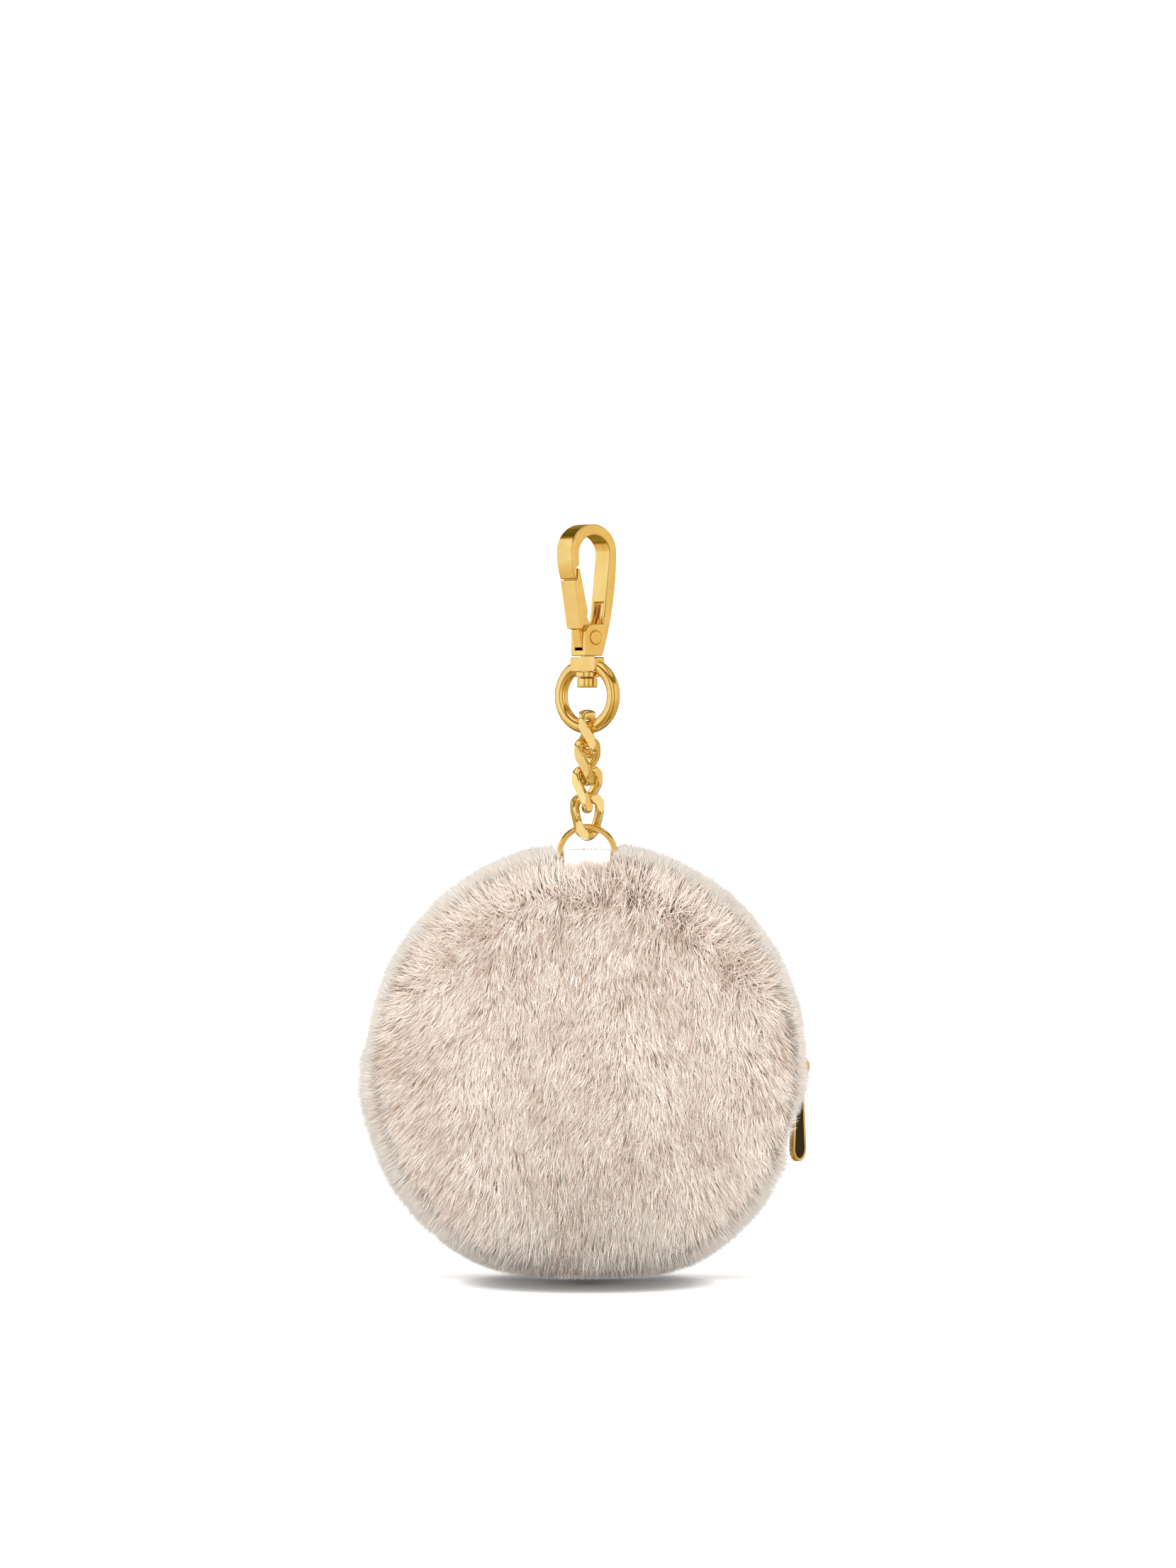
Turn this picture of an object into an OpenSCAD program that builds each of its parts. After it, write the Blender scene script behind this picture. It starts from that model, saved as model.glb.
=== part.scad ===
// Plush keychain: a round faux-fur zip pouch on a leather tab, a D-ring, a curb chain and a
// swivel snap hook. Millimetres, +Z up. The origin is the centre of the hook's round crown, on
// the line that the whole keychain hangs from. The pouch's tab side faces -Y.

/* [Snap hook] */
// Width of the hook across its crown
hook_w = 11.9; // [11.7:0.1:12.1]
// Thickness of the hook, front to back
hook_depth = 5.6; // [5.2:0.1:6.2]
// Height of the hook from crown to base
hook_h = 28.2; // [28:0.1:28.4]
// Radius of the round crown of the eye
eye_r = 4; // [3.9:0.05:4.05]
// Turn of the hook about the vertical, at rest
hook_yaw = 35; // [0:5:60]
// Radius of the pin that the gate turns on
pin_r = 0.8; // [0.7:0.05:0.9]

/* [Swivel and chain] */
// Radius of the swivel ring to the middle of its wire
ring_r = 6.75; // [6.5:0.05:7.2]
// Radius of the swivel ring's wire
ring_wire = 1.4; // [1.3:0.05:1.45]
// Turn of the swivel ring about the vertical, at rest
ring_yaw = -34; // [-60:2:60]
// Number of curb links
links = 4; // [4]
// Radius of a link's wire
link_wire = 1.1; // [1:0.05:1.1]
// Half length of a link, to the middle of its wire
link_half = 4.15; // [4.1:0.05:4.3]
// Half width of a link, to the middle of its wire
link_side = 2.7; // [2.65:0.05:2.8]
// Free gap between one link's wire and the next
link_gap = 0.2; // [0.15:0.05:0.25]

/* [D-ring and tab] */
// Radius of the D-ring's arc to the middle of its wire
d_ring_r = 5.95; // [5.8:0.05:6.3]
// Radius of the D-ring's wire
d_wire = 0.65; // [0.6:0.05:0.75]
// Width of the leather tab
tab_w = 9.9; // [9:0.1:10.2]

/* [Pouch] */
// Radius of the pouch over its pile
fur_r = 46.3; // [45.5:0.1:47]
// Radius of the seams and of the zip
seam_r = 41; // [40.8:0.1:41.2]
// Half width of the gusset between the two round panels
gusset_half = 10; // [9.6:0.1:10.4]
// Half thickness of the pouch over its pile
fur_half = 18.5; // [17.5:0.5:20]
// Height of the fold of the back panel above the pouch's centre
fold_z = 6.5; // [6:0.25:7]

/* [Zip] */
// Angle of the slider above the horizontal, zip closed
slider_rest = -1; // [-2:0.5:0]
// Distance from one tooth of a row to the next
tooth_pitch = 2.4; // [2.2:0.1:2.8]
// Length of the puller below its pivot
puller_len = 20.4; // [18:0.2:22]

/* [Hidden] */
$fn = 64;
eps = 0.01;
far = 60;

gold = "#d9a441";
pale_gold = "#e5bd6a";
fur = "#e2d4c8";
leather = "#faf8f4";
wadding = "#f2f0ec";
satin = "#e9dccd";

// Hook: x across, z up, in its own plane
crown_r = hook_w / 2;
crown_at = [-0.2, 0.4];
hook_top = crown_at[1] + crown_r;
hook_base = hook_top - hook_h;
spine_bow = 70;
nose_bow = 18;
nose_low = -5.45;
eye_lean = 6.1;
clevis_left = -2.4;
ear_top = hook_base + 6.85;
ear_round = 2.2;
slot_w = 3;
slot_floor = hook_base + 1.2;
pin_at = [0.3, hook_base + 3.9];
pin_head_r = 1.4;
pin_head_t = 0.5;
tongue_w = 2.8;
tongue_r = 1.25;
gate_w = hook_depth - 0.1;
spring_wire = 0.25;

// Swivel
post_r = 1.3;
run_gap = 0.06;
boss_top = hook_base - 0.4;
boss_h = 2.9;
boss_side = boss_h + 0.22;
boss_w = 3.8;
washer_r = 2.6;
washer_h = 1.2;
head_r = 2.15;
head_h = 2.1;
stack_gap = 0.1;
washer_top = boss_top - boss_h - stack_gap;
head_top = washer_top - washer_h - stack_gap;
ring_z = boss_top - ring_r - ring_wire;

// Chain: every link turns a little further than the one above it
link_yaws = [90, 68, 55, 22];
link_twist = link_side / 2;
link_flat = 1.8;
link_edge = link_side + 0.55;
link_pitch = 2 * link_half - 2 * link_wire - link_gap;
first_link_z = ring_z - ring_r + ring_wire + link_gap + link_wire - link_half;
link_rings = 56;
link_sides = 12;

// D-ring and tab
d_top = first_link_z - (links - 1) * link_pitch - link_half + link_wire + link_gap + d_wire;
d_arc_z = d_top - d_ring_r;
bar_z = d_arc_z - 0.9;
fold_r = 1.95;
fold_inner = 0.95;
tab_half = 1.1;
tab_tail = 5.3;

// Pouch
pouch_y = gusset_half;
pouch_z = bar_z + 2.95 - fur_r - 0.75;
tape_t = 0.6;
tape_edge = 3;
pile_in = 39.6;
lining_in = 8.2;
padding_in = 8.6;
pad_r = 38.6;
zip_right = -10;
zip_left = 177;
rim_in = 5.2;

// Slider
slider_len = 9;
slider_half = 4;
plate_t = 1.1;
zip_room = 0.3;
tooth_in = 1.4;
tooth_out = 0.8;
tooth_tip = 0.6;
tooth_w = 1.1;
bail_half = 1;
bail_in = 1.5;
bail_out = 2.6;
bail_rise = 2.2;
plate_in = seam_r + tooth_out + zip_room;
pivot_r = plate_in + plate_t + bail_rise;
puller_w = 5.8;
puller_neck = 3.8;
puller_t = 1.2;
puller_yaw = -30;
eye_bar = 0.65;

// ---- helpers ----

module in_hook() rotate([0, 0, hook_yaw]) children();

// An outline in x and z, as thick as depth about y = 0
module plate(depth) rotate([90, 0, 0]) linear_extrude(depth, center = true) children();

module rod(from, to, r) {
    way = to - from;
    translate(from)
        rotate([0, acos(way[2] / norm(way)), atan2(way[1], way[0])])
            cylinder(r = r, h = norm(way));
}

function unit(v) = v / norm(v);

// A bent wire with round corners
module wire(points, r) {
    for (i = [1:len(points) - 1]) rod(points[i - 1], points[i], r);
    for (p = points) translate(p) sphere(r = r + eps);
}

module rounded(size, r) {
    square([size[0] - 2 * r, size[1]], center = true);
    square([size[0], size[1] - 2 * r], center = true);
    for (x = [-1, 1], y = [-1, 1])
        translate([x * (size[0] / 2 - r), y * (size[1] / 2 - r)]) circle(r = r);
}

module at_pouch() translate([0, pouch_y, pouch_z]) children();

// Turns an outline of radius and height about the pouch's own axis, height towards -Y
module round_pouch() at_pouch() rotate([90, 0, 0]) rotate_extrude($fn = 96) children();

// The same, from one angle above +X to another
module arc_pouch(from, to)
    at_pouch() rotate([90, 0, 0]) rotate([0, 0, from])
        rotate_extrude(angle = to - from, $fn = 96) children();

module above_fold() at_pouch() translate([-far, -far, fold_z + 0.1]) cube(2 * far);

module below_fold() at_pouch() translate([-far, -far, fold_z - 0.1 - 2 * far]) cube(2 * far);

// ---- snap hook ----

module clevis_outline() {
    translate([clevis_left, hook_base])
        square([5.3, ear_top - ear_round - hook_base]);
    translate([clevis_left + ear_round, ear_top - ear_round]) {
        circle(r = ear_round);
        square([3.1, ear_round]);
    }
}

module spine_outline() {
    polygon([
        [eye_r, eps], [crown_r, eps], [crown_r, hook_base], [1.9, hook_base],
        [2.45, ear_top - 0.1], [eye_r * cos(eye_lean), -eye_r * sin(eye_lean)]
    ]);
}

module nose_outline() {
    intersection() {
        translate([crown_at[0] - crown_r + nose_bow, crown_at[1]]) circle(r = nose_bow, $fn = 128);
        polygon([
            [-eye_r, eps], [-crown_r - 1, eps], [-crown_r - 1, nose_low], [-4.6, nose_low],
            [-4.55, -2.75], [-3.95, -2.6]
        ]);
    }
}

module hook_outline() {
    difference() {
        translate(crown_at) circle(r = crown_r, $fn = 96);
        circle(r = eye_r, $fn = 96);
        translate([-far, -2 * far]) square([2 * far, 2 * far]);
    }
    nose_outline();
    intersection() {
        translate([crown_at[0] + crown_r - spine_bow, crown_at[1]])
            circle(r = spine_bow, $fn = 360);
        union() {
            spine_outline();
            clevis_outline();
        }
    }
}

module hook_frame() color(gold) in_hook() difference() {
    plate(hook_depth) hook_outline();
    plate(slot_w) polygon([
        [-4, ear_top + 1], [2.2, ear_top + 1], [2.4, ear_top - 0.6], [1.9, slot_floor],
        [-4, slot_floor]
    ]);
    // pocket in the spine for the spring's leg
    plate(3.4) polygon([
        [1.8, -10.25], [4, -10.25], [3.45, ear_top - 0.1], [1.8, ear_top - 0.1]
    ]);
    translate([pin_at[0], 0, pin_at[1]]) rotate([90, 0, 0]) {
        cylinder(r = pin_r, h = hook_depth + 1, center = true);
        for (side = [0, 1]) mirror([0, 0, side])
            translate([0, 0, hook_depth / 2 - pin_head_t]) cylinder(r = pin_head_r, h = 1);
    }
    translate([0, 0, hook_base - 1]) cylinder(r = post_r, h = 2.3);
}

module gate_lever() color(pale_gold) in_hook() difference() {
    union() {
        plate(gate_w) polygon([
            [-4.35, -3.15], [-3.75, -3.3], [-1.65, -12.4], [-1.9, -13.6], [-2.75, -15.3],
            [-3.2, -16.1], [-3.45, -16.1], [-5.15, nose_low - 0.25], [-4.4, nose_low - 0.25]
        ]);
        plate(tongue_w) polygon([
            [-3.6, -14.2], [-2.35, -20.1], [-0.3, -20.1], [0.3, -19.3], [1.5, -17.2],
            [-1.9, -12.2]
        ]);
        translate([pin_at[0], 0, pin_at[1]]) rotate([90, 0, 0])
            cylinder(r = tongue_r, h = tongue_w, center = true);
    }
    translate([pin_at[0], 0, pin_at[1]]) rotate([90, 0, 0])
        cylinder(r = pin_r + run_gap, h = hook_depth, center = true);
}

module gate_pin() color(gold) in_hook()
    translate([pin_at[0], 0, pin_at[1]]) rotate([90, 0, 0]) {
        cylinder(r = pin_r, h = hook_depth - 2 * pin_head_t, center = true);
        for (side = [0, 1]) mirror([0, 0, side])
            translate([0, 0, hook_depth / 2 - pin_head_t])
                cylinder(r = pin_head_r, h = pin_head_t + 0.12);
    }

// Middle of the spring's wire, in x and z, from the spine's pocket to under the gate's heel
spring_path = [
    [3.3, -10.7], [2.9, -13.2], [2, -15.1], [1.84, -17.9], [1.6, -19.6], [1.1, -20.2],
    [0.15, -20.3]
];
spring_sides = 8;

// Direction in which the spring's wire runs at its point i
function spring_way(i) = let(last = len(spring_path) - 1)
    unit(spring_path[min(i + 1, last)] - spring_path[max(i - 1, 0)]);
function spring_corner(i, j) = let(way = spring_way(i), turn = 360 * j / spring_sides)
    [
        spring_path[i][0] + spring_wire * cos(turn) * way[1],
        spring_wire * sin(turn),
        spring_path[i][1] - spring_wire * cos(turn) * way[0]
    ];

module gate_spring() color("#b06a2c") in_hook() {
    n = spring_sides;
    last = len(spring_path) - 1;
    polyhedron(
        points = [for (i = [0:last], j = [0:n - 1]) spring_corner(i, j)],
        faces = concat(
            [[for (j = [0:n - 1]) n - 1 - j]],
            [[for (j = [0:n - 1]) last * n + j]],
            [
                for (i = [0:last - 1], j = [0:n - 1], half = [0, 1])
                    let(a = i * n + j, b = i * n + (j + 1) % n)
                    half == 0 ? [a, b, b + n] : [a, b + n, a + n]
            ]
        )
    );
}

// ---- swivel ----

module swivel_rivet() color(gold) {
    translate([0, 0, head_top]) cylinder(r = post_r, h = slot_floor - head_top);
    translate([0, 0, head_top - head_h]) cylinder(r = head_r, h = head_h);
}

module swivel_washer() color(pale_gold) difference() {
    translate([0, 0, washer_top - washer_h]) cylinder(r = washer_r, h = washer_h);
    translate([0, 0, washer_top - washer_h - 1])
        cylinder(r = post_r + run_gap, h = washer_h + 2);
}

module swivel_ring() color(gold) rotate([0, 0, ring_yaw]) difference() {
    union() {
        translate([0, 0, ring_z]) rotate([90, 0, 0])
            rotate_extrude($fn = 96) translate([ring_r, 0]) circle(r = ring_wire);
        translate([0, 0, boss_top - boss_h + boss_side / 2]) rotate([90, 0, 0])
            linear_extrude(boss_w, center = true) rounded([6.4, boss_side], 0.6);
    }
    translate([0, 0, boss_top - boss_h - 1]) cylinder(r = post_r + run_gap, h = boss_side + 2);
    // flat seat for the washer
    translate([0, 0, head_top - head_h])
        cylinder(r = washer_r + 0.3, h = boss_top - boss_h - head_top + head_h);
}

// ---- curb chain ----

// The middle of a link's wire: an oval whose two ends are twisted opposite ways
function oval(t) = [
    link_side * cos(t),
    (link_half - link_side) * (sin(t) == 0 ? 0 : sign(sin(t)) * min(1, abs(sin(t)) * 2))
        + link_side * sin(t)
];
function bow(p) = let(u = p[0] / link_side, v = p[1] / link_half) -2 * link_twist * u * v
    / (u * u + v * v);
function link_mid(i) = let(p = oval(360 * i / link_rings)) [p[0], bow(p), p[1]];

// One corner of the wire's section, cut flat on all four sides of the link
function link_corner(i, j) = let(
    along = unit(link_mid(i + 1) - link_mid(i - 1)),
    across = unit(cross(along, [0, 1, 0])),
    out = cross(across, along),
    turn = 360 * j / link_sides,
    p = link_mid(i) + link_wire * (cos(turn) * across + sin(turn) * out)
) [max(-link_edge, min(link_edge, p[0])), max(-link_flat, min(link_flat, p[1])), p[2]];

module chain_link(index) color(index % 2 == 0 ? pale_gold : gold)
    translate([0, 0, first_link_z - index * link_pitch]) rotate([0, 0, link_yaws[index]])
        polyhedron(
            points = [
                for (i = [0:link_rings - 1], j = [0:link_sides - 1]) link_corner(i, j)
            ],
            faces = [
                for (i = [0:link_rings - 1], j = [0:link_sides - 1], half = [0, 1])
                    let(
                        n = (i + 1) % link_rings, m = (j + 1) % link_sides,
                        a = i * link_sides + j, b = n * link_sides + j,
                        c = n * link_sides + m, d = i * link_sides + m
                    )
                    half == 0 ? [a, b, c] : [a, c, d]
            ]
        );

module chain_link_1() chain_link(0);
module chain_link_2() chain_link(1);
module chain_link_3() chain_link(2);
module chain_link_4() chain_link(3);

// ---- D-ring and tab ----

module d_ring() color(gold) {
    translate([0, 0, d_arc_z]) rotate([90, 0, 0])
        rotate_extrude(angle = 180) translate([d_ring_r, 0]) circle(r = d_wire);
    wire([
        [-d_ring_r, 0, d_arc_z], [-d_ring_r, 0, bar_z], [d_ring_r, 0, bar_z],
        [d_ring_r, 0, d_arc_z]
    ], d_wire);
}

module leather_tab() color(leather) translate([0, 0, bar_z]) rotate([90, 0, 90])
    linear_extrude(tab_w, center = true) difference() {
        union() {
            circle(r = fold_r);
            polygon([
                [-fold_r, 0], [-tab_half, -2.9], [-tab_half, -tab_tail], [tab_half, -tab_tail],
                [tab_half, -2.9], [fold_r, 0]
            ]);
        }
        circle(r = fold_inner);
    }

// Short stitches that close the tab under the D-ring's bar
module tab_stitches() color(leather) for (i = [-2:2])
    translate([i * 1.9, 0, bar_z - 3.4]) rotate([90, 0, 0])
        cylinder(r = 0.16, h = 2 * tab_half + 0.3, center = true, $fn = 16);

// ---- pouch ----

// Half section of a round panel's pile: flat inside, domed outside
module pile_outline() polygon(concat(
    [[0, gusset_half + 0.2]],
    [
        for (a = [-30:10:90])
            [
                fur_r - 8 + (a > 0 ? 6.4 : 5.6) * cos(a) - (a > 60 ? (a - 60) * 0.2 : 0),
                14.5 + (a > 0 ? 3.4 : 8.6) * sin(a)
            ]
    ],
    [[20, fur_half - 0.1], [0, fur_half]]
));

module tab_room() translate([-7.3, -2.8, pouch_z + 38.7]) cube([14.6, 5.6, 30]);

module fur_front() color(fur) difference() {
    round_pouch() pile_outline();
    tab_room();
}

module fur_back() round_pouch() mirror([0, 1]) pile_outline();

module panel_disc(from, to) round_pouch() translate([0, from]) square([pad_r, to - from]);

module padding_front() color(wadding) panel_disc(padding_in, gusset_half + 0.1);
module lining_front() color(satin) panel_disc(lining_in, padding_in);

module padding_back() panel_disc(-gusset_half - 0.1, -padding_in);
module lining_back() panel_disc(-padding_in, -lining_in);

module fur_back_lower() color(fur) intersection() { fur_back(); below_fold(); }
module padding_back_lower() color(wadding) intersection() { padding_back(); below_fold(); }
module lining_back_lower() color(satin) intersection() { lining_back(); below_fold(); }
module fur_back_upper() color(fur) intersection() { fur_back(); above_fold(); }
module padding_back_upper() color(wadding) intersection() { padding_back(); above_fold(); }
module lining_back_upper() color(satin) intersection() { lining_back(); above_fold(); }

// Fur strips that border the zip over the top of the pouch
module rim_strip() arc_pouch(zip_right, zip_left) translate([seam_r + 0.2, rim_in])
    square([fur_r - seam_r - 0.3, gusset_half - 0.1 - rim_in]);

module fur_rim_front() color(fur) difference() {
    rim_strip();
    tab_room();
}

module fur_rim_back() color(fur) intersection() {
    at_pouch() mirror([0, 1, 0]) translate([0, -pouch_y, -pouch_z]) rim_strip();
    above_fold();
}

module fur_gusset() color(fur) difference() {
    arc_pouch(zip_left + 0.5, 360 + zip_right - 0.5) translate([pile_in, -gusset_half + 0.1])
        square([fur_r - pile_in, 2 * gusset_half - 0.2]);
    // the puller lies in the parted pile
    at_pouch() translate([43, -4.4, -18]) cube([10, 8.8, 18]);
}

module lining_gusset() color(satin) arc_pouch(zip_left + 0.5, 360 + zip_right - 0.5)
    translate([pile_in - 0.8, -lining_in + 0.1]) square([0.6, 2 * lining_in - 0.2]);

// ---- zip ----

module tape(side) arc_pouch(zip_right, zip_left)
    translate([seam_r - tape_t, side > 0 ? tape_edge : -gusset_half + 0.1])
        square([tape_t, gusset_half - 0.1 - tape_edge]);

module zip_tape_front() color(satin) difference() {
    tape(1);
    translate([-tab_w / 2 - 0.3, -tab_half - 0.3, pouch_z])
        cube([tab_w + 0.6, 2 * tab_half + 0.6, far]);
}

module zip_tape_back() color(satin) intersection() { tape(-1); above_fold(); }
module zip_tape_ends() color(satin) intersection() { tape(-1); below_fold(); }

// One tooth, gripping the tape's edge, at an angle round the pouch
module tooth(angle, side) at_pouch() rotate([0, -angle, 0])
    translate([seam_r - tooth_in, side < 0 ? -tape_edge : tooth_tip, -tooth_w / 2])
        cube([tooth_in + tooth_out, tape_edge - tooth_tip, tooth_w]);

tooth_step = tooth_pitch / seam_r * 180 / PI;
fold_angle = asin(fold_z / seam_r);
stop_margin = 4;
tooth_angles = [for (a = [zip_right + stop_margin:tooth_step:zip_left - stop_margin]) a];

function is_upper(a) = a > fold_angle + 2 && a < 180 - fold_angle - 2;
function is_lower(a) = a < fold_angle - 1 || a > 180 - fold_angle + 1;

module zip_teeth_front() color(gold) for (a = tooth_angles) tooth(a, -1);
module zip_teeth_back() color(gold)
    for (a = tooth_angles) if (is_upper(a + tooth_step / 2)) tooth(a + tooth_step / 2, 1);
module zip_teeth_ends() color(gold)
    for (a = tooth_angles) if (is_lower(a + tooth_step / 2)) tooth(a + tooth_step / 2, 1);

module zip_stops() color(gold) for (a = [zip_right + 1, zip_left - 1], side = [-1, 1])
    at_pouch() rotate([0, -a, 0])
        translate([seam_r - tooth_in, side < 0 ? -tape_edge : tooth_tip, -0.7])
            cube([tooth_in + tooth_out + 0.2, tape_edge - tooth_tip, 1.4]);

module at_slider() at_pouch() rotate([0, -slider_rest, 0]) children();

module slider_plan(length, half) rotate([90, 0, 90]) linear_extrude(plate_t)
    rounded([2 * half, length], 1.4);

module slider_body() color(gold) at_slider() {
    low = seam_r - tooth_in - zip_room - plate_t;
    translate([plate_in, 0, 0]) slider_plan(slider_len, slider_half);
    translate([low, 0, 0]) slider_plan(slider_len, slider_half);
    // wedge that parts the teeth
    translate([low, -tooth_tip + 0.25, -slider_len / 2 + 0.4])
        cube([plate_in - low + eps, 2 * tooth_tip - 0.5, 2.2]);
    // flanges that keep the teeth in
    for (side = [-1, 1], inner = [0, 1]) {
        x = inner == 1 ? low + plate_t - eps : seam_r + zip_room;
        translate([x, side > 0 ? slider_half - 0.7 : -slider_half, -slider_len / 2 + 1.4])
            cube([plate_in - seam_r - zip_room - (inner == 1 ? 0.2 : 0) + eps, 0.7, slider_len - 2.8]);
    }
}

module slider_bail() color(pale_gold) at_slider() translate([pivot_r, 0, 0]) plate(2 * bail_half)
    difference() {
        union() {
            circle(r = bail_out);
            translate([-bail_rise, -bail_out]) square([bail_rise, 2 * bail_out]);
        }
        circle(r = bail_in);
        translate([-far, -bail_in]) square([far, 2 * bail_in]);
        translate([-far - bail_rise, -far / 2]) square([far, far]);
    }

module at_puller() at_slider() translate([pivot_r, 0, 0]) rotate([0, slider_rest, 0])
    rotate([0, 0, puller_yaw]) children();

// Face of the puller, in y and z: a drop that widens downwards
module drop(grow) hull() {
    translate([0, -4.2 - puller_neck / 2]) circle(r = puller_neck / 2 + grow);
    translate([0, -puller_len + puller_w / 2]) circle(r = puller_w / 2 + grow);
}

module sheet(thick) rotate([90, 0, 90]) linear_extrude(thick, center = true) children();

module zip_puller() color(gold) at_puller() {
    difference() {
        sheet(puller_t) drop(0);
        translate([puller_t / 2, 0, 0]) sheet(0.6) drop(-0.7);
    }
    // window round the bail, closed by the bar that turns in it
    for (side = [-1, 1]) translate([0, side * 2.25, -4.3]) cylinder(r = 0.5, h = 4.3);
    translate([0, -2.25, -4.3]) rotate([-90, 0, 0]) cylinder(r = 0.5, h = 4.5);
    translate([0, -2.25, 0]) rotate([-90, 0, 0]) cylinder(r = eye_bar, h = 4.5);
    for (side = [-1, 1]) translate([0, side * 2.25, 0]) sphere(r = eye_bar);
}

module puller_inlay() color("#1c120a") at_puller()
    translate([puller_t / 2 - 0.2, 0, 0]) sheet(0.2) drop(-0.7);

hook_frame();
gate_lever();
gate_pin();
gate_spring();
swivel_rivet();
swivel_washer();
swivel_ring();
chain_link_1();
chain_link_2();
chain_link_3();
chain_link_4();
d_ring();
leather_tab();
tab_stitches();
fur_front();
padding_front();
lining_front();
fur_rim_front();
fur_gusset();
lining_gusset();
fur_back_lower();
padding_back_lower();
lining_back_lower();
fur_back_upper();
padding_back_upper();
lining_back_upper();
fur_rim_back();
zip_tape_front();
zip_teeth_front();
zip_tape_back();
zip_teeth_back();
zip_tape_ends();
zip_teeth_ends();
zip_stops();
slider_body();
slider_bail();
zip_puller();
puller_inlay();
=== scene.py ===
"""Looks of the plush keychain: a round faux-fur zip pouch on a tab, a curb chain and a snap hook.
Lengths are in millimetres up to the point where a mesh is made, which is in metres."""

import math

import bmesh
import bpy
import numpy as np
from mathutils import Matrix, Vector
from mathutils.kdtree import KDTree


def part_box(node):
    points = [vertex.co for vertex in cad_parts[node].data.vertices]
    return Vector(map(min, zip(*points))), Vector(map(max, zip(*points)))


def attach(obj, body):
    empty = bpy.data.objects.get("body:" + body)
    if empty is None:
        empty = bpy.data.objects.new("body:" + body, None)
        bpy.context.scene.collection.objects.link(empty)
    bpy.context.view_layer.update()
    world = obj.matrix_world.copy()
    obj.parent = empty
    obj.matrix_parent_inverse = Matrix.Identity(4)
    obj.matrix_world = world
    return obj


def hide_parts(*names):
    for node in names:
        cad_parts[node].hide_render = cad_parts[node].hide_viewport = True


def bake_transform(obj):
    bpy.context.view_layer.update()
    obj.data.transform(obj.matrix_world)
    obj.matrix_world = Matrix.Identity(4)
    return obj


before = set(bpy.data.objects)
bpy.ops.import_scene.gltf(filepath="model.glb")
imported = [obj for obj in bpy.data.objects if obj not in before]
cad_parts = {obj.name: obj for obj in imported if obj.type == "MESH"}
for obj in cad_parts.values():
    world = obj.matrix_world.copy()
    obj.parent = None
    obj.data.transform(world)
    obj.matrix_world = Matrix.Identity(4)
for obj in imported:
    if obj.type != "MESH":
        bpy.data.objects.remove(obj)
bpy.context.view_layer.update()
rng = np.random.default_rng(20)

MM = 0.001
UV_LAYER = "OFBake"


# ---- sizes that the frame gives ----

def box_mm(node):
    low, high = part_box(node)
    return np.array(low) / MM, np.array(high) / MM


D_WIRE = 0.65  # radius of the D-ring's wire

lining_low, lining_high = box_mm("lining_front")
gusset_low, gusset_high = box_mm("fur_gusset")
centre = np.array([
    (lining_low[0] + lining_high[0]) / 2,
    (gusset_low[1] + gusset_high[1]) / 2,
    (lining_low[2] + lining_high[2]) / 2,
])
seam_r = box_mm("zip_tape_front")[1][2] - centre[2]
seam_h = (gusset_high[1] - gusset_low[1]) / 2
lining_h = centre[1] - lining_high[1]
tape_r = seam_r - 0.6
floor_z = gusset_low[2]
bar_z = box_mm("d_ring")[0][2] + D_WIRE
slider_z = (box_mm("slider_body")[0][2] + box_mm("slider_body")[1][2]) / 2

ZIP_RIGHT, ZIP_LEFT = -10.0, 177.0  # angles of the zip's two ends
TAPE_EDGE = 3.0  # height of the woven tape's inner edge above the pouch's middle
RIM_IN = 5.3  # height of the fur strip's edge by the zip
PELT_T = 0.8  # thickness of the cloth under the pile
CROWN = 3.8  # how far the wadding lifts a panel's middle


# ---- numbers and meshes ----

def unit(v):
    return v / np.maximum(np.linalg.norm(v, axis=-1, keepdims=True), 1e-9)


def smooth(low, high, x):
    t = np.clip((x - low) / (high - low), 0, 1)
    return t * t * (3 - 2 * t)


def ripple(points, size, seed):
    """Smooth noise from about -1 to 1 whose waves are size long."""
    local = np.random.default_rng(seed)
    ways = unit(local.normal(size=(9, 3))) * local.uniform(0.7, 1.6, (9, 1)) * 2 * math.pi / size
    phases = local.uniform(0, 2 * math.pi, 9)
    return np.sin(points @ ways.T + phases).sum(-1) / 3.2


def polar(r, phi, h):
    """A point of the pouch: radius and angle about its own axis, and height from its middle to the front."""
    a = np.radians(phi)
    r, a, h = np.broadcast_arrays(np.asarray(r, float), a, np.asarray(h, float))
    return np.stack([centre[0] + r * np.cos(a), centre[1] - h, centre[2] + r * np.sin(a)], -1)


def link_object(name, mesh, material=None):
    o = bpy.data.objects.new(name, mesh)
    bpy.context.scene.collection.objects.link(o)
    if material:
        mesh.materials.append(material)
    return o


def quick_mesh(name, points, corners, starts, uvs=None):
    """A mesh from arrays of points in millimetres, face corners and the first corner of each face."""
    mesh = bpy.data.meshes.new(name)
    mesh.vertices.add(len(points))
    mesh.vertices.foreach_set("co", (points * MM).astype(np.float32).ravel())
    mesh.loops.add(len(corners))
    mesh.loops.foreach_set("vertex_index", corners.astype(np.int32))
    mesh.polygons.add(len(starts))
    mesh.polygons.foreach_set("loop_start", starts.astype(np.int32))
    mesh.update(calc_edges=True)
    if uvs is not None:
        layer = mesh.uv_layers.new(name=UV_LAYER)
        layer.data.foreach_set("uv", uvs.astype(np.float32).ravel())
    mesh.polygons.foreach_set("use_smooth", np.ones(len(starts), bool))
    return mesh


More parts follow.
